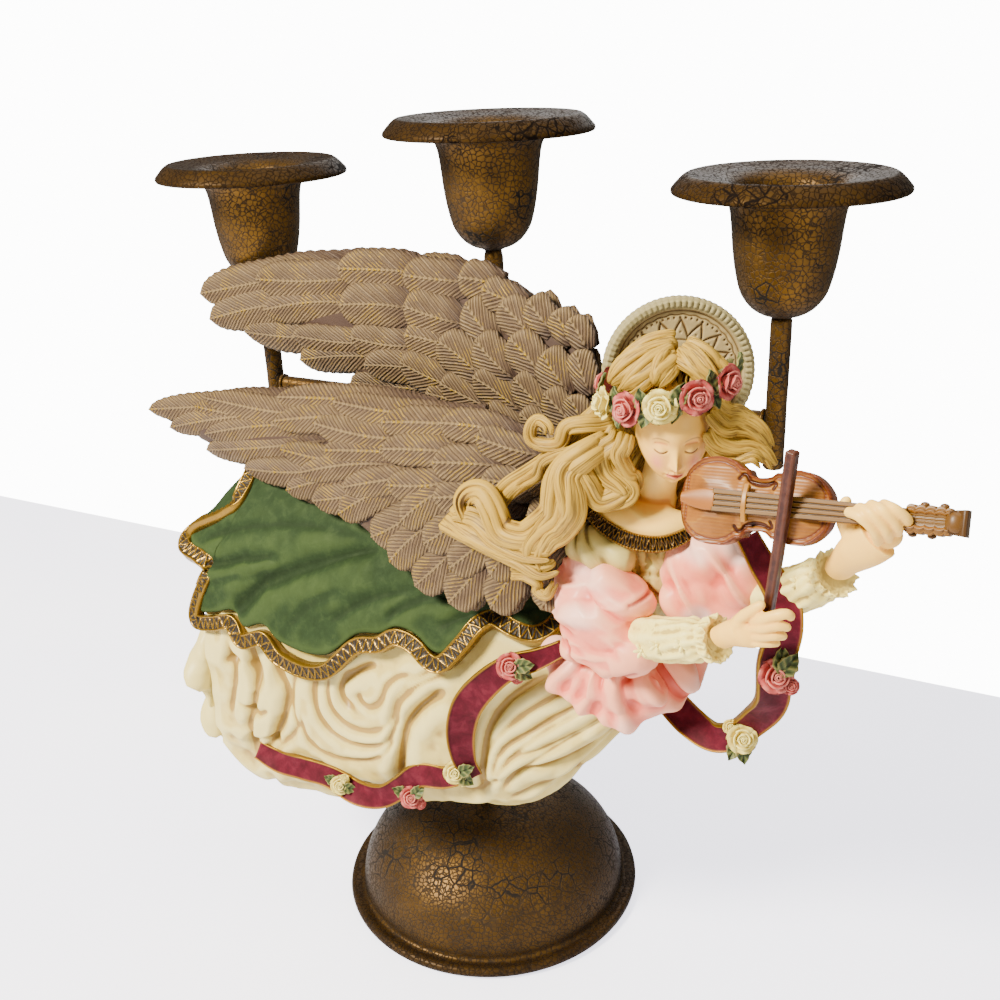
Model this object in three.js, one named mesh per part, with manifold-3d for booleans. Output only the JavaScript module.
// Angel candelabra: a cast angel playing a violin, carried on a three-light metal candle stand.
// Millimetres, +Z up. The origin is on the floor under the middle of the foot.
// X runs to the viewer's right and -Y faces the viewer. The stand lies in the plane y = postSetback.

import * as THREE from 'three';
import { mergeVertices } from 'three/addons/utils/BufferGeometryUtils.js';
import Module from 'manifold-3d';

const wasm = await Module();
wasm.setup();

// Clearance between pieces that are seated, glued or welded to each other
const seatGap = 0.3;

// Foot: a spun dome with a flat flange, closed below by felt
const footRadius = 47;
const flangeWidth = 4.5;
const flangeHeight = 3.5;
const domeHeight = 34;
const domeWall = 2.4;
const feltThickness = 1.6;
const feltProud = 0.6;

// Stand: one joggled post, two side stems and two welded arms
const postRadius = 2.7;
const postSetback = 17;
const joggleTop = 78;
const joggleBottom = 53;
const stemSpread = 81;
const leftStemTail = 7;
const rightStemTail = 13;
const armRadius = 2.25;
const leftArmHeight = 157.5;
const rightArmHeight = 163.5;
const sideRimHeight = 223;
const centreRimHeight = 236;

// Candle cup, measured down from the plane of its rim edge
const cupRimRadius = 28.5;
const cupRidgeRadius = 24.6;
const cupRidgeRise = 3.5;
const cupThroatRadius = 12.2;
const cupMouthRadius = 13.6;
const cupWaistRadius = 12.2;
const cupDepth = 31.8;
const cupWall = 1.2;
const cupLip = 1.1;
const cupThroatDrop = 2.2;
const cupSeatDepth = 26.5;
const cupSeatRadius = 8.4;

// Screws and their holes
const screwRadius = 1.4;
const screwHeadRadius = 2.8;
const screwHeadHeight = 1.7;
const screwGrip = 6;
const screwFit = 0.25;
const screwHeadSink = 0.2;

// Foot fixing
const collarRadius = 5;
const collarHeight = 2;
const nutAcrossFlats = 9;
const nutHeight = 4;
const washerRadius = 8;
const washerHeight = 1.2;
const washerRoom = 1;
const threadStub = 9;

// Lugs cast on the figure's back, and the screws that hold them through the post
const lowerLugHeight = 88;
const upperLugHeight = 110;
const lugRadius = 4.5;
const lugBoreDepth = 9;

// Figure
const headCentre = new THREE.Vector3(71.5, -38.4, 178.4);
const headHalfWidth = 8.3;
const headHalfDepth = 9.4;
const headHalfHeight = 12.4;
const haloRadius = 17;
const haloThickness = 3.6;
const haloRimWidth = 2.4;
const wreathRadius = 14.4;
const roseRadius = 3;
const skirtFolds = 11;
const skirtFoldDepth = 0.7;
const skirtColumns = 24;
const capeThickness = 2.4;
const capeBackFolds = 11;
const capeFoldDepth = 1.3;
const foldLimit = 1.7;
const trimWidth = 3.8;
const trimThickness = 3.2;
const wingThickness = 2.6;
const featherWidth = 8.6;
const featherThickness = 1.5;
const featherStep = 0.9;
const ribbonWidth = 7.6;
const ribbonThickness = 1.8;

// Violin
const violinLength = 56;
const violinBody = 31.5;
const lowerBout = 9;
const upperBout = 7.4;
const violinWaist = 5.4;
const violinDepth = 4.6;
const bowRadius = 0.9;

// Facets round the turned pieces
const cupFacets = 18;
const footFacets = 24;
const rodFacets = 12;

// Looks: colour, roughness, metalness
const bronze = { color: 0x7a5226, roughness: 0.45, metalness: 0.6 };
const steel = { color: 0x8c8a84, roughness: 0.4, metalness: 0.9 };
const felt = { color: 0x2c2a28, roughness: 0.95, metalness: 0 };
const cream = { color: 0xece0c0, roughness: 0.6, metalness: 0 };
const green = { color: 0x55784c, roughness: 0.65, metalness: 0 };
const gold = { color: 0xa97f35, roughness: 0.4, metalness: 0.7 };
const pink = { color: 0xe6b4ae, roughness: 0.6, metalness: 0 };
const skin = { color: 0xeabf98, roughness: 0.55, metalness: 0 };
const blond = { color: 0xd8c286, roughness: 0.6, metalness: 0 };
const ivory = { color: 0xe4d9c4, roughness: 0.6, metalness: 0 };
const taupe = { color: 0x9c8570, roughness: 0.7, metalness: 0 };
const burgundy = { color: 0x86304a, roughness: 0.5, metalness: 0 };
const rose = { color: 0xd98f92, roughness: 0.6, metalness: 0 };
const yellow = { color: 0xe8dba0, roughness: 0.6, metalness: 0 };
const leaf = { color: 0x5d7a48, roughness: 0.6, metalness: 0 };
const spruce = { color: 0xcf8a58, roughness: 0.4, metalness: 0 };
const rosewood = { color: 0x74403e, roughness: 0.4, metalness: 0 };

const candelabra = new THREE.Group();
const stand = new THREE.Group();
const figure = new THREE.Group();
candelabra.add(stand, figure);

// Small tools

function spot(x, y, z) {
  return new THREE.Vector3(x, y, z);
}

function along(values, t) {
  if (values.length === 1) {
    return values[0];
  }
  const curve = new THREE.SplineCurve(values.map((value, i) => new THREE.Vector2(i, value)));
  return curve.getPoint(THREE.MathUtils.clamp(t, 0, 1)).y;
}

function welded(geometry) {
  const bare = geometry.clone();
  bare.deleteAttribute('normal');
  bare.deleteAttribute('uv');
  return mergeVertices(bare, 1e-4);
}

function volumeOf(geometry) {
  const p = geometry.attributes.position;
  const index = geometry.index.array;
  const [a, b, c] = [spot(), spot(), spot()];
  let volume = 0;
  for (let i = 0; i < index.length; i += 3) {
    a.fromBufferAttribute(p, index[i]);
    b.fromBufferAttribute(p, index[i + 1]);
    c.fromBufferAttribute(p, index[i + 2]);
    volume += a.dot(b.cross(c)) / 6;
  }
  return volume;
}

function facingOut(geometry) {
  const closed = welded(geometry);
  if (volumeOf(closed) < 0) {
    closed.index.array.reverse();
  }
  return closed;
}

function swollen(geometry, margin) {
  const grown = facingOut(geometry);
  grown.computeVertexNormals();
  const p = grown.attributes.position;
  const n = grown.attributes.normal;
  const [at, out] = [spot(), spot()];
  for (let i = 0; i < p.count; i++) {
    at.fromBufferAttribute(p, i).addScaledVector(out.fromBufferAttribute(n, i), margin);
    p.setXYZ(i, at.x, at.y, at.z);
  }
  return grown;
}

function solidOf(geometry) {
  const closed = facingOut(geometry);
  const vertProperties = new Float32Array(closed.attributes.position.array);
  const triVerts = new Uint32Array(closed.index.array);
  return new wasm.Manifold(new wasm.Mesh({ numProp: 3, vertProperties, triVerts }));
}

function geometryOf(solid) {
  const mesh = solid.getMesh();
  const geometry = new THREE.BufferGeometry();
  geometry.setAttribute('position', new THREE.BufferAttribute(new Float32Array(mesh.vertProperties), 3));
  geometry.setIndex(new THREE.BufferAttribute(new Uint32Array(mesh.triVerts), 1));
  geometry.computeVertexNormals();
  return geometry;
}

function joined(parts) {
  return parts.map(solidOf).reduce((sum, part) => sum.add(part));
}

function mainBody(solid) {
  const bodies = solid.decompose();
  return bodies.reduce((best, body) => (body.volume() > best.volume() ? body : best));
}

function addMesh(group, name, geometry, look) {
  const mesh = new THREE.Mesh(geometry, new THREE.MeshStandardMaterial(look));
  mesh.name = name;
  group.add(mesh);
  return mesh;
}

// Closed shapes

function loft(rings) {
  const count = rings[0].length;
  const points = rings.flat();
  const middleOf = (ring) => ring.reduce((sum, p) => sum.add(p), spot(0, 0, 0)).divideScalar(count);
  points.push(middleOf(rings[0]), middleOf(rings[rings.length - 1]));
  const first = points.length - 2;
  const last = points.length - 1;
  const end = (rings.length - 1) * count;
  const faces = [];
  for (let i = 0; i < count; i++) {
    const next = (i + 1) % count;
    for (let ring = 0; ring < rings.length - 1; ring++) {
      const a = ring * count + i;
      const b = ring * count + next;
      faces.push(a, b, b + count, a, b + count, a + count);
    }
    faces.push(first, next, i);
    faces.push(last, end + i, end + next);
  }
  return new THREE.BufferGeometry().setFromPoints(points).setIndex(faces);
}

function slab(front, back, columns, rows) {
  const points = [];
  const faces = [];
  const at = (side, i, j) => side * (columns + 1) * (rows + 1) + i * (rows + 1) + j;
  for (const surface of [front, back]) {
    for (let i = 0; i <= columns; i++) {
      for (let j = 0; j <= rows; j++) {
        points.push(surface(i / columns, j / rows));
      }
    }
  }
  const quad = (a, b, c, d) => faces.push(a, b, c, a, c, d);
  for (let i = 0; i < columns; i++) {
    for (let j = 0; j < rows; j++) {
      quad(at(0, i, j), at(0, i + 1, j), at(0, i + 1, j + 1), at(0, i, j + 1));
      quad(at(1, i, j), at(1, i, j + 1), at(1, i + 1, j + 1), at(1, i + 1, j));
    }
    quad(at(0, i, 0), at(1, i, 0), at(1, i + 1, 0), at(0, i + 1, 0));
    quad(at(0, i, rows), at(0, i + 1, rows), at(1, i + 1, rows), at(1, i, rows));
  }
  for (let j = 0; j < rows; j++) {
    quad(at(0, 0, j), at(0, 0, j + 1), at(1, 0, j + 1), at(1, 0, j));
    quad(at(0, columns, j), at(1, columns, j), at(1, columns, j + 1), at(0, columns, j + 1));
  }
  return new THREE.BufferGeometry().setFromPoints(points).setIndex(faces);
}

function sweep(points, widths, depths, { face = spot(0, -1, 0), steps = 8, sides = 8 } = {}) {
  const faceAt = typeof face === 'function' ? face : () => face;
  const curve = new THREE.CatmullRomCurve3(points);
  const toFlats = 1 / Math.cos(Math.PI / sides);
  const rings = [];
  for (let i = 0; i <= steps; i++) {
    const t = i / steps;
    const middle = curve.getPoint(t);
    const heading = curve.getTangent(t);
    const side = heading.clone().cross(faceAt(middle)).normalize();
    const out = side.clone().cross(heading).normalize();
    const ring = [];
    for (let k = 0; k < sides; k++) {
      const angle = (2 * Math.PI * (k + 0.5)) / sides;
      const p = middle.clone().addScaledVector(side, toFlats * along(widths, t) * Math.cos(angle));
      ring.push(p.addScaledVector(out, toFlats * along(depths, t) * Math.sin(angle)));
    }
    rings.push(ring);
  }
  return loft(rings);
}

function ball(centre, size, { segments = 12, turn = [0, 0, 0] } = {}) {
  const geometry = new THREE.SphereGeometry(1, segments, Math.round(segments * 0.6));
  geometry.scale(size.x, size.y, size.z);
  geometry.rotateX(turn[0]).rotateY(turn[1]).rotateZ(turn[2]);
  return geometry.translate(centre.x, centre.y, centre.z);
}

function turned(profile, segments = 48) {
  return new THREE.LatheGeometry(profile, segments).rotateX(Math.PI / 2);
}

function bar(from, to, radius, sides = rodFacets) {
  const middle = from.clone().add(to).divideScalar(2);
  const geometry = new THREE.CylinderGeometry(radius, radius, from.distanceTo(to), sides);
  const heading = to.clone().sub(from).normalize();
  geometry.applyQuaternion(new THREE.Quaternion().setFromUnitVectors(spot(0, 1, 0), heading));
  return geometry.translate(middle.x, middle.y, middle.z);
}

// Foot

const domeRadius = footRadius - flangeWidth;
const feltTop = feltThickness;
const flangeFoot = feltProud;
const feltRadius = footRadius - flangeWidth / 2;
const domeTopInside = domeHeight - domeWall;

function domeArc(radius, foot, top, steps) {
  const rise = top - foot;
  const arc = [];
  for (let i = 0; i <= steps; i++) {
    const angle = (Math.PI / 2) * (i / steps);
    arc.push(new THREE.Vector2(radius * Math.cos(angle), foot + rise * Math.sin(angle)));
  }
  return arc;
}

function makeFoot() {
  const holeRadius = postRadius + screwFit;
  const outside = domeArc(domeRadius, flangeHeight, domeHeight, 6);
  const inside = domeArc(domeRadius - domeWall, feltTop + seatGap, domeTopInside, 4).reverse();
  const seatRadius = washerRadius + washerRoom;
  outside[outside.length - 1].x = holeRadius;
  const crown = [holeRadius, seatRadius].map((radius) => new THREE.Vector2(radius, domeTopInside));
  inside.splice(0, 1, ...crown);
  const lip = [
    new THREE.Vector2(feltRadius + seatGap, feltTop + seatGap),
    new THREE.Vector2(feltRadius + seatGap, flangeFoot),
    new THREE.Vector2(footRadius - 0.8, flangeFoot),
    new THREE.Vector2(footRadius, flangeFoot + 1),
    new THREE.Vector2(footRadius - 0.4, flangeHeight - 0.5),
    new THREE.Vector2(footRadius - 1.6, flangeHeight),
  ];
  const profile = [...lip, ...outside, ...inside];
  profile.push(profile[0].clone());
  addMesh(stand, 'foot_dome', facingOut(turned(profile, footFacets)), bronze);

  const pad = bar(spot(0, 0, 0), spot(0, 0, feltThickness), feltRadius, footFacets);
  addMesh(stand, 'felt_pad', pad, felt);
}

function flatRing(foot, top, boreRadius, outer, segments) {
  const inner = boreRadius / Math.cos(Math.PI / segments);
  const profile = [
    new THREE.Vector2(inner, foot),
    new THREE.Vector2(outer, foot),
    new THREE.Vector2(outer, top),
    new THREE.Vector2(inner, top),
    new THREE.Vector2(inner, foot),
  ];
  return facingOut(turned(profile, segments));
}

const washerTop = domeTopInside - seatGap;
const nutTop = washerTop - washerHeight - seatGap;

function makeFootFixing() {
  const bore = postRadius + screwFit;
  const washer = flatRing(washerTop - washerHeight, washerTop, bore, washerRadius, 12);
  addMesh(stand, 'foot_washer', washer, steel);
  const corner = nutAcrossFlats / Math.sqrt(3);
  const nut = flatRing(nutTop - nutHeight, nutTop, bore, corner, 6);
  addMesh(stand, 'foot_nut', nut, steel);
}

// Stand

function cupFloorFor(rimHeight) {
  return rimHeight - cupDepth;
}

const tappedRadius = screwRadius + screwFit;

function drilled(solid, x, top) {
  const [from, to] = [spot(x, postSetback, top - screwGrip - 1), spot(x, postSetback, top + 1)];
  return solid.subtract(solidOf(bar(from, to, tappedRadius, 8)));
}

function makePost() {
  const top = cupFloorFor(centreRimHeight) - seatGap;
  const foot = domeHeight - threadStub;
  const reach = joggleTop - joggleBottom;
  const spine = [spot(0, postSetback, top), spot(0, postSetback, joggleTop)];
  for (let i = 1; i < 5; i++) {
    const t = i / 5;
    spine.push(spot(0, postSetback * (1 + Math.cos(Math.PI * t)) / 2, joggleTop - reach * t));
  }
  spine.push(spot(0, 0, joggleBottom), spot(0, 0, foot));
  const rings = spine.map((middle, i) => {
    const before = spine[Math.max(i - 1, 0)];
    const after = spine[Math.min(i + 1, spine.length - 1)];
    const lean = Math.atan2(after.y - before.y, before.z - after.z);
    const ring = [];
    for (let k = 0; k < rodFacets; k++) {
      const angle = (2 * Math.PI * k) / rodFacets;
      const across = postRadius * Math.cos(angle);
      const deep = postRadius * Math.sin(angle);
      ring.push(spot(across, deep * Math.cos(lean), deep * Math.sin(lean)).add(middle));
    }
    return ring;
  });
  const collarFoot = domeHeight + seatGap;
  const collar = bar(spot(0, 0, collarFoot), spot(0, 0, collarFoot + collarHeight), collarRadius, rodFacets);
  let post = drilled(joined([loft(rings), collar]), 0, top);
  for (const z of [lowerLugHeight, upperLugHeight]) {
    post = post.subtract(solidOf(bar(spot(0, 0, z), spot(0, postSetback * 2, z), tappedRadius, 8)));
  }
  addMesh(stand, 'centre_post', geometryOf(post), bronze);
}

function makeStem(name, side, foot) {
  const top = cupFloorFor(sideRimHeight) - seatGap;
  const x = side * stemSpread;
  const stem = solidOf(bar(spot(x, postSetback, foot), spot(x, postSetback, top), postRadius));
  addMesh(stand, name, geometryOf(drilled(stem, x, top)), bronze);
}

function makeArm(name, side, height) {
  const stemX = side * stemSpread;
  let arm = solidOf(bar(spot(0, postSetback, height), spot(stemX, postSetback, height), armRadius, 10));
  const cutReach = 2 * armRadius;
  for (const x of [0, stemX]) {
    const [from, to] = [spot(x, postSetback, height - cutReach), spot(x, postSetback, height + cutReach)];
    arm = arm.subtract(solidOf(bar(from, to, postRadius + seatGap)));
  }
  addMesh(stand, name, geometryOf(mainBody(arm)), bronze);
}

// The screw head sits in a recess, just under the floor that the candle stands on
const headRecess = screwHeadHeight + seatGap + screwHeadSink;

function cupProfile() {
  const path = new THREE.Path();
  const recessRadius = screwHeadRadius + seatGap;
  path.moveTo(tappedRadius, -cupSeatDepth - headRecess);
  path.lineTo(recessRadius, -cupSeatDepth - headRecess);
  path.lineTo(recessRadius, -cupSeatDepth);
  path.lineTo(cupSeatRadius, -cupSeatDepth);
  path.lineTo(cupWaistRadius - cupWall, -cupDepth / 2);
  path.lineTo(cupThroatRadius, -cupThroatDrop);
  path.quadraticCurveTo(cupThroatRadius + 1.2, cupRidgeRise / 2, cupRidgeRadius - 6, cupRidgeRise - 0.8);
  path.lineTo(cupRidgeRadius, cupRidgeRise);
  path.lineTo(cupRimRadius, 0);
  path.lineTo(cupRimRadius - 0.4, -cupLip);
  path.quadraticCurveTo(cupMouthRadius + 0.9, -cupThroatDrop * 1.6, cupMouthRadius, -cupDepth * 0.27);
  path.lineTo(cupWaistRadius - 0.5, -cupDepth * 0.64);
  path.quadraticCurveTo(cupWaistRadius - 1.8, -cupDepth * 0.88, cupWaistRadius * 0.54, -cupDepth * 0.945);
  path.lineTo(postRadius + 0.4, -cupDepth);
  path.lineTo(tappedRadius, -cupDepth);
  path.closePath();
  return path.getPoints(2);
}

function makeCup(name, x, rimHeight) {
  const cup = facingOut(turned(cupProfile(), cupFacets));
  addMesh(stand, name, cup.translate(x, postSetback, rimHeight), bronze);
}

function makeCupScrew(name, x, rimHeight) {
  const seat = rimHeight - cupSeatDepth - headRecess + seatGap;
  const tip = cupFloorFor(rimHeight) - screwGrip;
  const profile = [
    new THREE.Vector2(0, tip),
    new THREE.Vector2(screwRadius, tip),
    new THREE.Vector2(screwRadius, seat),
    new THREE.Vector2(screwHeadRadius, seat),
    new THREE.Vector2(screwHeadRadius * 0.8, seat + screwHeadHeight),
    new THREE.Vector2(0, seat + screwHeadHeight),
  ];
  const screw = facingOut(turned(profile, 8)).translate(x, postSetback, 0);
  addMesh(stand, name, screw, steel);
}

// Screws that hold the figure's lugs against the post, put in from behind

const postFront = postSetback - postRadius;
const postBack = postSetback + postRadius;
const lugEnd = postFront - seatGap;
const lugHeights = [lowerLugHeight, upperLugHeight];

function makeFigureScrew(name, z) {
  const headFace = postBack + seatGap;
  const shank = bar(spot(0, postFront - lugBoreDepth + 1, z), spot(0, headFace + 0.2, z), screwRadius, 8);
  const head = bar(spot(0, headFace, z), spot(0, headFace + screwHeadHeight, z), screwHeadRadius, 8);
  addMesh(stand, name, geometryOf(joined([shank, head])), steel);
}

// Figure castings. Each one is cut clear of the castings made before it.

const made = [];

function boxAround(parts) {
  const box = new THREE.Box3();
  for (const part of parts) {
    part.computeBoundingBox();
    box.union(part.boundingBox);
  }
  return box.expandByScalar(seatGap);
}

function keepClearOf(parts) {
  made.push({ parts, box: boxAround(parts), room: null });
}

function roomFor(casting) {
  const withMargin = [...casting.parts, ...casting.parts.map((part) => swollen(part, seatGap))];
  casting.room = casting.room ?? joined(withMargin);
  return casting.room;
}

function cast(name, parts, look, bores = []) {
  const box = boxAround(parts);
  let solid = joined(parts);
  for (const bore of bores) {
    solid = solid.subtract(solidOf(bore));
  }
  for (const other of made.filter((casting) => casting.box.intersectsBox(box))) {
    solid = solid.subtract(roomFor(other));
  }
  addMesh(figure, name, geometryOf(mainBody(solid)), look);
  keepClearOf(parts);
}

// Body under the skirt and cape: sections along X that lean back as they rise

const bodyLeft = -96;
const bodyRight = 60;
const bodyFoot = [58, 40, 40, 46, 54, 63, 92];
const bodyTop = [120, 138, 142, 141, 138, 128, 112];
const bodyFront = [-29, -34, -37, -40, -42, -42, -38];
const bodyBack = [2, 6, 8, 9, 9, 5, -8];
const bodyLean = 0.18;
const bodySquareness = 2.3;

function sectionAt(x) {
  const t = (x - bodyLeft) / (bodyRight - bodyLeft);
  const [foot, top] = [along(bodyFoot, t), along(bodyTop, t)];
  const [front, back] = [along(bodyFront, t), along(bodyBack, t)];
  return {
    middleY: (front + back) / 2,
    middleZ: (foot + top) / 2,
    halfDepth: (back - front) / 2,
    halfHeight: (top - foot) / 2,
  };
}

function bodyPoint(x, angle, lift) {
  const section = sectionAt(x);
  const squared = (value) => Math.sign(value) * Math.abs(value) ** (2 / bodySquareness);
  const rise = (section.halfHeight + lift) * squared(Math.sin(angle));
  const y = section.middleY + (section.halfDepth + lift) * squared(Math.cos(angle)) + bodyLean * rise;
  return spot(x, y, section.middleZ + rise);
}

function angleAt(x, z, isFront) {
  const section = sectionAt(x);
  const share = THREE.MathUtils.clamp((z - section.middleZ) / section.halfHeight, -1, 1);
  const angle = Math.asin(Math.sign(share) * Math.abs(share) ** (bodySquareness / 2));
  return isFront ? Math.PI - angle : angle;
}

// Folds are drawn as lines of x and height on the front. Each is a crease with a rolled side.

function distanceTo(line, x, z) {
  const point = new THREE.Vector3(x, 0, z);
  const nearest = spot(0, 0, 0);
  let best = Infinity;
  for (let i = 1; i < line.length; i++) {
    const piece = new THREE.Line3(spot(line[i - 1][0], 0, line[i - 1][1]), spot(line[i][0], 0, line[i][1]));
    piece.closestPointToPoint(point, true, nearest);
    best = Math.min(best, nearest.distanceTo(point));
  }
  return best;
}

function folded(folds, x, z) {
  let relief = 0;
  for (const { line, width, depth } of folds) {
    const away = distanceTo(line, x, z) / width;
    relief += depth * (0.6 * Math.exp(-(((away - 1.9) / 1.15) ** 2)) - Math.exp(-(away ** 2)));
  }
  return THREE.MathUtils.clamp(relief, -foldLimit, foldLimit);
}

const hemX = -80;
const waistEnd = 64;
const waistRoundFrom = 50;
const waistRoundReach = 15;
const skirtSteps = 18;
const skirtCreases = [
  { line: [[11, 98], [-1, 85], [-5, 68], [-7, 60]], width: 3.4, depth: 2 },
  { line: [[-12, 99], [-23, 92], [-25, 87], [-19, 84]], width: 3, depth: 1.6 },
  { line: [[-33, 91], [-34, 79], [-23, 71.5], [-9, 78], [-3, 91], [8, 101]], width: 3, depth: 1.5 },
  { line: [[-51, 92], [-46, 82], [-55, 58]], width: 3.4, depth: 1.8 },
  { line: [[-63, 94], [-60, 67], [-64, 52]], width: 3.6, depth: 1.8 },
  { line: [[20, 66], [25, 90], [41, 108]], width: 3.2, depth: 1.6 },
  { line: [[24, 72], [37, 92.5], [58, 107]], width: 3, depth: 1.5 },
  { line: [[26, 68], [42, 82], [59, 97]], width: 3, depth: 1.4 },
];

function makeSkirt() {
  const rings = [];
  for (let i = 0; i <= skirtSteps; i++) {
    const x = THREE.MathUtils.lerp(hemX, waistEnd, i / skirtSteps);
    const past = Math.max(x - waistRoundFrom, 0) / waistRoundReach;
    const shrink = (Math.sqrt(Math.max(1 - past ** 2, 0.05)) - 1) * sectionAt(x).halfHeight;
    const ring = [];
    for (let k = 0; k < skirtColumns; k++) {
      const angle = (2 * Math.PI * k) / skirtColumns;
      const flat = bodyPoint(x, angle, shrink);
      const behind = THREE.MathUtils.clamp(2 * Math.cos(angle), 0, 1);
      const drape = behind * skirtFoldDepth * Math.cos(skirtFolds * angle + x * 0.07);
      const front = THREE.MathUtils.clamp(-2 * Math.cos(angle), 0, 1);
      ring.push(bodyPoint(x, angle, shrink + drape + front * folded(skirtCreases, flat.x, flat.z)));
    }
    rings.push(ring);
  }
  const lugs = lugHeights.map((z) => bar(spot(0, -10, z), spot(0, lugEnd, z), lugRadius, 12));
  const boreFrom = lugEnd - lugBoreDepth;
  const bores = lugHeights.map((z) => bar(spot(0, boreFrom, z), spot(0, lugEnd + 1, z), tappedRadius, 8));
  cast('skirt', [loft(rings), ...lugs], cream, bores);
}

function keepFixingsClear() {
  const headEnd = postBack + 2 * seatGap + screwHeadHeight;
  const post = bar(spot(0, postSetback, joggleTop), spot(0, postSetback, leftArmHeight), postRadius);
  const from = lugEnd - lugBoreDepth;
  const screws = lugHeights.map((z) => bar(spot(0, from, z), spot(0, headEnd, z), lugRadius));
  keepClearOf([post, ...screws]);
}

function makePetticoat() {
  const rings = [];
  for (const [reach, size] of [[seatGap + 0.6, -1.5], [4, 1], [7, -1.5], [6, -7]]) {
    const ring = [];
    for (let k = 0; k < skirtColumns; k++) {
      const angle = (2 * Math.PI * k) / skirtColumns;
      const below = THREE.MathUtils.clamp(0.9 - Math.sin(angle), 0.1, 1);
      const ruffle = 2 * below * Math.cos(9 * angle + 0.6);
      const p = bodyPoint(hemX - reach, angle, size + ruffle - 8 * (1 - below));
      ring.push(reach < 1 ? p : p.setX(p.x + 1.5 * Math.sin(9 * angle)));
    }
    rings.push(ring);
  }
  cast('petticoat_ruffle', [loft(rings)], cream);
}

// Cape: a draped sheet over the body, from a low front edge over the crest to a higher back edge

// Edge heights are spaced evenly from capeRight to the left end, and the left edge from front to back.

const capeLift = 1;
const capeGirth = 105;
const capeRight = 50;
const capeFrontEdge = [122, 118, 117.2, 117.6, 108.4, 111.3, 108.6, 104.5, 98, 97, 99.2, 98.3, 100.3, 97.6];
const capeBackEdge = [117.5, 113.7, 112, 115.7, 115.4, 113.6, 110, 107, 107, 107.3, 105, 101, 104, 110];
const capeLeftEdge = [-81, -80, -78, -88, -82, -71, -69, -73, -79, -79, -75, -71];
const capeColumns = 16;
const capeRows = 8;
const foldOrigin = { x: 22, z: 138 };
const capeCreases = [
  { line: [[-85, 117.5], [-67, 126], [-44, 131.3], [-15, 131.7]], width: 3.2, depth: 1.2 },
  { line: [[-82, 113], [-62, 118.5], [-47, 122]], width: 3, depth: 1.4 },
  { line: [[-66, 100.5], [-50, 115.5], [-33, 123.8], [-11, 130.5]], width: 4, depth: 2.4 },
  { line: [[-28, 108.4], [-10, 120], [2, 123.7]], width: 3.2, depth: 1.2 },
  { line: [[7.6, 115.2], [22.6, 121.5], [36, 123.6]], width: 3, depth: 1 },
];

function capePoint(u, v, lift) {
  const x = THREE.MathUtils.lerp(capeRight, along(capeLeftEdge, v), u);
  const frontAngle = angleAt(x, along(capeFrontEdge, u), true);
  const backAngle = angleAt(x, along(capeBackEdge, u), false);
  return bodyPoint(x, THREE.MathUtils.lerp(frontAngle, backAngle, v), lift);
}

function capeFold(u, v) {
  const p = capePoint(u, v, 0);
  const behind = THREE.MathUtils.smoothstep(v, 0.5, 0.75);
  const fan = Math.atan2(foldOrigin.z - p.z, foldOrigin.x - p.x);
  const drape = capeFoldDepth * Math.cos(capeBackFolds * fan);
  return behind * drape + (1 - behind) * folded(capeCreases, p.x, p.z);
}

function makeCape() {
  const inner = (u, v) => capePoint(u, v, capeLift);
  const outer = (u, v) => capePoint(u, v, capeLift + capeThickness + capeFold(u, v));
  cast('cape', [slab(outer, inner, capeColumns, capeRows)], green);
}

function makeCapeTrim() {
  const trimOffset = (trimWidth / 2 + seatGap) / capeGirth;
  const hem = (u, v) => capePoint(u, v, capeLift + capeThickness * 0.75 + capeFold(u, v));
  const frontStops = 20;
  const endStops = 12;
  const backStops = 9;
  const path = [];
  for (let i = 0; i <= frontStops; i++) {
    path.push(hem(0.02 + 0.98 * (i / frontStops), -trimOffset));
  }
  for (let i = 1; i < endStops; i++) {
    path.push(hem(1 + trimOffset, i / endStops));
  }
  for (let i = 0; i <= backStops; i++) {
    path.push(hem(1 - 0.9 * (i / backStops), 1 + trimOffset));
  }
  const outward = (p) => {
    const section = sectionAt(p.x);
    return spot(p.x < hemX ? -8 : 0, p.y - section.middleY, p.z - section.middleZ).normalize();
  };
  const options = { face: outward, steps: 36, sides: 4 };
  cast('cape_trim', [sweep(path, [trimWidth / 2], [trimThickness / 2], options)], gold);
}

// Wings: a surface between a leading and a trailing edge, with feathers laid along it

const farWing = {
  lead: [[46, -16, 180], [36, -10, 195], [0, 0, 203], [-41, 4, 202], [-75, 6, 197], [-96, 6, 189]],
  trail: [[48, -20, 154], [19, -9, 158], [-12, -1, 162], [-38, 3, 167], [-68, 6, 176], [-90, 6, 184]],
  face: [0.1, -0.98, 0.15],
};
const nearWing = {
  lead: [[46, -33, 158], [20, -27, 170], [-10, -20, 168], [-45, -14, 166], [-85, -11, 160], [-111, -8, 154]],
  trail: [[50, -41, 134], [14, -41, 124], [-1, -37, 128], [-27, -28, 137], [-66, -16, 141], [-104, -9, 149]],
  face: [0.05, -0.93, 0.37],
};

function wingPoint(wing, u, v, lift) {
  const edge = (points) => new THREE.CatmullRomCurve3(points.map((p) => spot(...p))).getPoint(Math.min(u, 1));
  const p = edge(wing.lead).lerp(edge(wing.trail), v);
  const camber = 2.5 * Math.sin(Math.PI * THREE.MathUtils.clamp(v, 0, 1));
  return p.addScaledVector(spot(...wing.face).normalize(), lift + camber);
}

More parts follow.
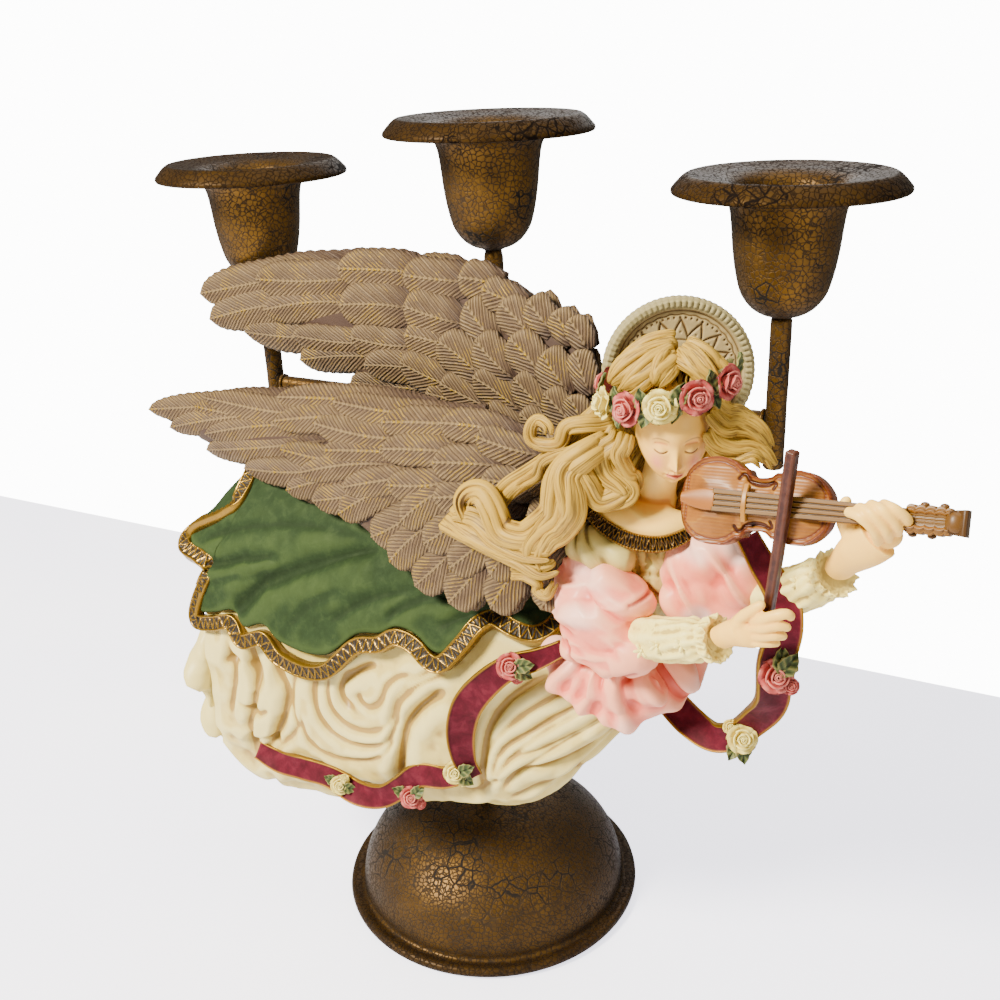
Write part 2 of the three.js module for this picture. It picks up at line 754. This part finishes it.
function feather(wing, root, tip, width, lift, steps) {
  const points = [0, 0.4, 0.8, 1].map((t) => {
    const u = THREE.MathUtils.lerp(root[0], tip[0], t);
    const v = THREE.MathUtils.lerp(root[1], tip[1], t);
    return wingPoint(wing, u, v, lift * (1 - 0.4 * t));
  });
  const half = width / 2;
  const thick = featherThickness / 2;
  const options = { face: spot(...wing.face), steps, sides: 4 };
  const widths = [half * 0.6, half, half, half * 0.25];
  return sweep(points, widths, [thick, thick, thick * 0.8, thick * 0.4], options);
}

function wingParts(wing) {
  const front = (u, v) => wingPoint(wing, u * 0.86, 0.06 + v * 0.86, wingThickness / 2);
  const back = (u, v) => wingPoint(wing, u * 0.86, 0.06 + v * 0.86, -wingThickness / 2);
  const parts = [slab(front, back, 5, 3)];
  const primaries = 7;
  for (let k = 0; k < primaries; k++) {
    const s = k / (primaries - 1);
    const root = [0.42 - 0.2 * s, 0.08 + 0.8 * s];
    const tip = [1 - 0.62 * s ** 1.3, Math.min(0.05 + 1.7 * s, 1.02)];
    parts.push(feather(wing, root, tip, featherWidth, featherStep * (k % 2), 3));
  }
  for (const [reach, count] of [[0.62, 4], [0.38, 3]]) {
    for (let k = 0; k < count; k++) {
      const v = 0.08 + (0.84 * k) / (count - 1);
      const lift = wingThickness * 0.75 + featherStep * (k % 2);
      parts.push(feather(wing, [reach - 0.28, v], [reach, v + 0.03], featherWidth * 1.25, lift, 2));
    }
  }
  return parts;
}

// Dress

const torsoFace = spot(0.4, -0.92, 0);
const towardViewer = spot(0.43, -0.82, 0.39);

function makeBodice() {
  const spine = [
    [52, -25, 104], [52, -27, 116], [56, -28, 130],
    [61, -28, 143], [63, -29, 151], [65, -31, 157],
  ];
  const options = { face: torsoFace, steps: 5, sides: 8 };
  const widths = [14, 12.5, 12.5, 14, 11.5, 6.5];
  const depths = [12, 11, 11.5, 11, 9, 6];
  cast('bodice', [sweep(spine.map((p) => spot(...p)), widths, depths, options)], cream);
}

function limb(path, widths, depths, { steps = 5, sides = 8, face = torsoFace } = {}) {
  return sweep(path.map((p) => spot(...p)), widths, depths, { face, steps, sides });
}

function makeSleeves() {
  const nearPath = [[53, -36, 147], [54, -41, 137], [58, -45, 127], [67, -48, 121]];
  cast('near_sleeve', [limb(nearPath, [5, 9, 10, 6], [5, 8, 8.5, 5.5])], pink);
  const farPath = [[73, -31, 149], [78, -35, 143], [85, -36, 137], [91, -37, 137]];
  cast('far_sleeve', [limb(farPath, [5, 8.5, 8.5, 5.5], [5, 8, 7.5, 5])], pink);
  const peplum = limb(
    [[40, -39, 117], [50, -43, 108], [62, -42, 103], [73, -35, 108], [77, -27, 115]],
    [3.5, 6.5, 6.5, 6, 3],
    [1.6, 2.4, 2.6, 2.4, 1.6],
    { face: towardViewer, steps: 8, sides: 6 },
  );
  cast('peplum', [peplum], pink);
}

function makeCuffs() {
  const nearPath = [[66, -48, 126], [74, -51.5, 131.5], [84, -55, 136.5], [91, -58, 140.6]];
  cast('near_cuff', [limb(nearPath, [5.2, 5, 4.6, 4.2], [5, 4.8, 4.4, 4])], cream);
  const farPath = [[90, -37, 137], [98, -41, 143], [106, -46, 151], [112, -50, 157]];
  cast('far_cuff', [limb(farPath, [5.4, 5.2, 4.8, 4.2], [5, 5, 4.6, 4])], cream);
}

function makeNecklineBand() {
  const path = [[50, -38, 156], [56, -41, 152.5], [63, -42.5, 151], [70, -42, 152], [77, -39, 156]];
  cast('neckline_band', [limb(path, [1.2], [1], { face: torsoFace, steps: 7, sides: 4 })], gold);
}

// Head, hair, halo and wreath. The face is a plain one on even proportions.

function makeHead() {
  const face = new THREE.SphereGeometry(1, 14, 9);
  const p = face.attributes.position;
  for (let i = 0; i < p.count; i++) {
    const [x, y, z] = [p.getX(i), p.getY(i), p.getZ(i)];
    const front = Math.max(-y, 0) ** 2;
    const jaw = 1 - 0.22 * Math.max(-z, 0) ** 1.5;
    const nose = 0.16 * front * Math.exp(-((x / 0.16) ** 2) - ((z + 0.18) / 0.2) ** 2);
    const sockets = 0.05 * front * Math.exp(-((Math.abs(x) - 0.36) ** 2) / 0.03 - ((z - 0.05) / 0.12) ** 2);
    p.setXYZ(i, x * jaw, y - nose + sockets, z);
  }
  face.scale(headHalfWidth, headHalfDepth, headHalfHeight);
  face.rotateX(0.22).rotateZ(0.42).translate(headCentre.x, headCentre.y, headCentre.z);
  const neckPath = [[65, -31, 156], [67, -34, 164], [70, -36, 173]];
  const neck = limb(neckPath, [6, 4.4, 4.4], [5.5, 4.4, 4.4], { steps: 4, sides: 6 });
  const chestPath = [[52, -35, 152], [62, -37, 154], [72, -36, 153]];
  const chestShape = { steps: 4, sides: 6, face: spot(0, -1, 0.3) };
  const chest = limb(chestPath, [3, 5, 3.5], [3, 4.5, 3], chestShape);
  cast('head', [face, neck, chest], skin);
}

const haloCentre = spot(66.5, -21.5, 186.5);
const haloNormal = spot(0.42, -0.9, 0.06).normalize();

function makeHalo() {
  const inner = haloRadius - haloRimWidth;
  const profile = [
    new THREE.Vector2(0, 0),
    new THREE.Vector2(haloRadius, 0),
    new THREE.Vector2(haloRadius + 0.3, haloThickness / 2),
    new THREE.Vector2(haloRadius, haloThickness),
    new THREE.Vector2(inner, haloThickness),
    new THREE.Vector2(inner - 0.6, haloThickness - 1),
    new THREE.Vector2(0, haloThickness - 1),
  ];
  const halo = facingOut(turned(profile, footFacets));
  halo.applyQuaternion(new THREE.Quaternion().setFromUnitVectors(spot(0, 0, 1), haloNormal));
  cast('halo', [halo.translate(haloCentre.x, haloCentre.y, haloCentre.z)], ivory);
}

const flatLock = 0.45;
const roundLock = 0.8;
const locks = [
  { path: [[59, -40, 180], [53, -44, 179], [47, -45, 174], [40, -45, 174], [42, -45, 179]], size: 2 },
  {
    path: [
      [63, -37, 188], [57, -40, 183], [51, -42, 177],
      [45, -43, 170], [33, -43, 160], [22, -41, 148],
    ],
    size: 2.6,
  },
  {
    path: [
      [59, -44, 176], [51, -48, 171], [47, -49, 159], [39, -49, 151],
      [33, -48, 151], [27, -46, 159], [21, -45, 155], [23, -46, 151],
    ],
    size: 2.9,
  },
  { path: [[58, -45, 175], [51, -50, 169], [49, -51, 158], [42, -50, 149], [42, -49, 145]], size: 3 },
  { path: [[15, -43, 150], [26, -47, 148], [39, -49, 145], [48, -50, 146]], size: 3 },
  { path: [[62, -40, 181], [58, -46, 171], [62, -46, 166], [56, -47, 162]], size: 2.4 },
  { path: [[77, -38, 188], [82, -41, 184], [87, -40, 181], [93, -38, 176]], size: 2.6 },
  { path: [[79, -37, 184], [82, -41, 179], [87, -40, 176.5], [94, -37, 172]], size: 2.4 },
  { path: [[66, -29, 186], [61, -28, 176], [57, -26, 166], [50, -25, 156]], size: 6, flat: flatLock },
  { path: [[74, -29, 186], [74, -28, 174], [70, -25, 164], [66, -20, 154]], size: 6, flat: flatLock },
];

function makeHair() {
  const crown = headCentre.clone().add(spot(-1.4, 3, 5));
  const parts = [ball(crown, spot(10.6, 9.6, 11.4), { segments: 10 })];
  for (const { path, size, flat } of locks) {
    const widths = [size, size, size * 0.9, size * 0.4];
    const depths = widths.map((width) => width * (flat ?? roundLock));
    parts.push(limb(path, widths, depths, { steps: path.length, sides: 4, face: towardViewer }));
  }
  cast('hair', parts, blond);
}

const wreathCentre = spot(70, -36, 189);

function wreathPoint(angle, lift) {
  const reach = wreathRadius + lift;
  const x = wreathCentre.x + reach * Math.cos(angle);
  const y = wreathCentre.y - reach * 0.95 * Math.sin(angle);
  return spot(x, y, wreathCentre.z + 3.4 * Math.cos(angle) - 2.4 * Math.sin(angle));
}

function blossom(centre, size, facing) {
  const rings = [];
  for (const [height, reach] of [[-0.7, 0.5], [0.05, 1.05], [0.6, 0.62], [0.3, 0.2]]) {
    const ring = [];
    for (let k = 0; k < 8; k++) {
      const angle = (2 * Math.PI * k) / 8 + height;
      const petal = reach * (1 + 0.08 * Math.cos(4 * angle));
      ring.push(spot(petal * Math.cos(angle), petal * Math.sin(angle), height).multiplyScalar(size));
    }
    rings.push(ring);
  }
  const geometry = loft(rings);
  const turn = new THREE.Quaternion().setFromUnitVectors(spot(0, 0, 1), facing.clone().normalize());
  return geometry.applyQuaternion(turn).translate(centre.x, centre.y, centre.z);
}

function blade(centre, heading, length, facing) {
  const half = heading.clone().normalize().multiplyScalar(length / 2);
  const path = [centre.clone().sub(half), centre.clone(), centre.clone().add(half)];
  return sweep(path, [0.4, length * 0.28, 0.3], [0.4, 0.6, 0.3], { face: facing, steps: 2, sides: 4 });
}

const wreathBlooms = [[3.2, rose], [2.45, yellow], [1.9, rose], [1.4, yellow], [0.92, rose], [0.4, rose]];

function makeWreath() {
  const arc = [];
  for (let i = 0; i <= 8; i++) {
    arc.push(wreathPoint(THREE.MathUtils.lerp(-0.2, 3.5, i / 8), -2.2));
  }
  const parts = [sweep(arc, [1.3], [1.3], { face: spot(0, 0, 1), steps: 8, sides: 4 })];
  for (const angle of [0.65, 2.18]) {
    const centre = wreathPoint(angle, 0.2);
    const outward = centre.clone().sub(wreathCentre).setZ(0);
    parts.push(blade(centre.setZ(centre.z - 1.2), spot(0.5, 0, -1), 5.5, outward));
  }
  wreathBlooms.forEach(([angle, look], k) => {
    const centre = wreathPoint(angle, 1);
    const outward = centre.clone().sub(wreathCentre).setZ(1.5);
    cast(`wreath_rose_${k + 1}`, [blossom(centre, roseRadius, outward)], look);
  });
  cast('wreath', parts, leaf);
}

// Violin, laid out along its own axes: length, width and height above the belly

const violinEnd = spot(79, -54, 169.2);
const violinHead = spot(134, -61, 175.2);
const violinLengthwise = violinHead.clone().sub(violinEnd).normalize();
const violinUp = towardViewer.clone().projectOnPlane(violinLengthwise).normalize();
const violinAcross = violinUp.clone().cross(violinLengthwise).normalize();

function onViolin(lengthwise, across, up) {
  const p = violinEnd.clone().addScaledVector(violinLengthwise, lengthwise);
  return p.addScaledVector(violinAcross, across).addScaledVector(violinUp, up);
}

function violinOutline() {
  const half = [
    [0, 0], [0.02, lowerBout * 0.55], [0.12, lowerBout * 0.93], [0.27, lowerBout], [0.4, lowerBout * 0.78],
    [0.45, violinWaist * 1.04], [0.54, violinWaist], [0.63, violinWaist * 1.06], [0.67, upperBout * 0.9],
    [0.8, upperBout], [0.93, upperBout * 0.78], [0.99, upperBout * 0.35], [1, 0],
  ];
  const shape = new THREE.Shape();
  shape.moveTo(0, 0);
  half.slice(1).forEach(([share, width]) => shape.lineTo(share * violinBody, width));
  half.slice(1, -1).reverse().forEach(([share, width]) => shape.lineTo(share * violinBody, -width));
  shape.closePath();
  return shape;
}

function block(from, to, halfWidth, foot, top) {
  const corners = (lengthwise) => [
    onViolin(lengthwise, -halfWidth, foot),
    onViolin(lengthwise, halfWidth, foot),
    onViolin(lengthwise, halfWidth * 0.8, top),
    onViolin(lengthwise, -halfWidth * 0.8, top),
  ];
  return loft([corners(from), corners(to)]);
}

function makeViolin() {
  const ribs = { depth: violinDepth, bevelEnabled: false, steps: 1 };
  const box = new THREE.ExtrudeGeometry(violinOutline(), ribs);
  const frame = new THREE.Matrix4().makeBasis(violinLengthwise, violinAcross, violinUp);
  frame.setPosition(onViolin(0, 0, -violinDepth));
  box.applyMatrix4(frame);
  const pegboxStart = violinBody + 14.5;
  const parts = [
    box,
    block(2.5, 10.5, 2, -0.2, 1.5),
    block(14.6, 15.6, 3.6, -0.2, 2),
    block(violinBody - 9, pegboxStart - 0.2, 1.7, -0.2, 1.6),
    block(violinBody - 0.5, pegboxStart, 1.4, -1.8, 0.2),
    block(pegboxStart - 0.5, violinLength - 3, 1.8, -2, 1.3),
    ball(onViolin(violinLength - 2.6, 0, -0.8), spot(2.6, 2.2, 2.6), { segments: 8 }),
  ];
  for (let peg = 0; peg < 4; peg++) {
    const at = pegboxStart + 1 + peg * 1.6;
    const side = peg % 2 ? 1 : -1;
    parts.push(bar(onViolin(at, -side * 1, -0.4), onViolin(at, side * 4.2, -0.4), 0.6, 4));
  }
  cast('violin', parts, spruce);
}

const bowTip = spot(102.7, -62, 184.7);
const bowGrip = spot(99.4, -59.6, 146);

function makeBow() {
  cast('bow', [bar(bowTip, bowGrip, bowRadius, 8)], rosewood);
}

const fingerShape = { steps: 2, sides: 4, face: towardViewer };

function finger(path, size) {
  return limb(path, [size, size, size * 0.8], [size, size, size * 0.8], fingerShape);
}

function makeHands() {
  const wristShape = { steps: 2, sides: 6 };
  const near = [ball(spot(96, -60.5, 143.5), spot(4.6, 2.8, 3.4), { segments: 8, turn: [0, -0.4, 0] })];
  near.push(limb([[91.6, -58.3, 141.4], [93.5, -59.3, 142.3], [96, -60.5, 143.5]], [2.8], [2.4], wristShape));
  for (let k = 0; k < 4; k++) {
    const drop = 1.8 * k;
    const joints = [[98, -62, 146.8 - drop], [102, -63.4, 148.2 - drop], [104.4, -61.5, 147.6 - drop]];
    near.push(finger(joints, 1.05));
  }
  near.push(finger([[95, -62, 146], [97.5, -63, 149.5], [99, -62.4, 152]], 1.05));
  cast('near_hand', near, skin);

  const palm = onViolin(38, -5.6, 0.4);
  const far = [ball(palm, spot(5, 3.4, 3.6), { segments: 8, turn: [0, -0.3, 0] })];
  const wrist = [spot(112.6, -51.2, 158.6), spot(114.5, -56, 163.5), palm];
  far.push(sweep(wrist, [3, 2.9, 3.2], [2.8], wristShape));
  for (let k = 0; k < 4; k++) {
    const place = 33.6 + 2.9 * k;
    const over = place + 0.4;
    const tips = [onViolin(place, -5, 2.2), onViolin(over, -1.6, 4.1), onViolin(over, 1.4, 3.6)];
    far.push(sweep(tips, [1.25], [1.2], fingerShape));
  }
  cast('far_hand', far, skin);
}

// Ribbons and their roses

const loopPath = [
  [94, -46, 153], [99.5, -48, 147], [101, -50, 140.5], [99, -48, 130], [98, -44, 118.5],
  [94, -40, 110], [88, -36, 101.5], [82, -34, 98], [75, -31, 99], [67, -28, 103.5],
];
const drapePath = [
  [47, -45, 121], [37, -47, 115], [28, -48, 107.5], [21, -48, 99],
  [18, -47, 90], [18, -46, 81], [19, -44, 75],
];
const hemPath = [
  [18, -43, 74], [7, -43, 69], [-4, -43, 62], [-14, -43, 56],
  [-27, -42, 55], [-41, -41, 53.5], [-56, -40, 53],
];

function makeRibbons() {
  const half = ribbonWidth / 2;
  const flat = [ribbonThickness / 2];
  const options = { face: towardViewer, steps: 17, sides: 4 };
  const ribbons = [
    ['loop_ribbon', loopPath, [0.7, 1, 1, 0.9, 1]],
    ['drape_ribbon', drapePath, [0.6, 0.8, 1, 1, 0.6]],
    ['hem_ribbon', hemPath, [0.6, 0.8, 1, 0.7]],
  ];
  for (const [name, path, widths] of ribbons) {
    cast(name, [limb(path, widths.map((share) => share * half), flat, options)], burgundy);
  }
}

const sprays = [
  ['loop_rose', [100.5, -50.5, 130], rose],
  ['loop_foot_rose', [91, -39.5, 103.5], yellow],
  ['waist_rose', [35, -49.5, 115.5], rose],
  ['drape_rose', [16, -47.5, 77], yellow],
  ['hem_rose', [0, -45.5, 62], rose],
  ['hem_end_rose', [-25, -44.5, 57.5], yellow],
];

function makeSprays() {
  for (const [name, place, look] of sprays) {
    const centre = spot(...place);
    const side = blade(centre.clone().add(spot(3.4, 0.8, 1.2)), spot(1, 0, 0.3), 6, towardViewer);
    cast(name, [blossom(centre, roseRadius, towardViewer), side], look);
  }
}

// Assembly

makeFoot();
makeFootFixing();
makePost();
makeStem('left_stem', -1, leftArmHeight - leftStemTail);
makeStem('right_stem', 1, rightArmHeight - rightStemTail);
makeArm('left_arm', -1, leftArmHeight);
makeArm('right_arm', 1, rightArmHeight);

const cups = [
  ['left', -stemSpread, sideRimHeight],
  ['centre', 0, centreRimHeight],
  ['right', stemSpread, sideRimHeight],
];
for (const [place, x, rimHeight] of cups) {
  makeCup(`${place}_cup`, x, rimHeight);
  makeCupScrew(`${place}_cup_screw`, x, rimHeight);
}

makeFigureScrew('lower_figure_screw', lowerLugHeight);
makeFigureScrew('upper_figure_screw', upperLugHeight);

makeSkirt();
keepFixingsClear();
makeCape();
makeHead();
makeBodice();
makeViolin();
makeBow();
cast('near_wing', wingParts(nearWing), taupe);
cast('far_wing', wingParts(farWing), taupe);
makeHalo();
makeSleeves();
makeCuffs();
makeHands();
makeNecklineBand();
makeHair();
makeWreath();
makeCapeTrim();
makePetticoat();
makeRibbons();
makeSprays();

export default candelabra;
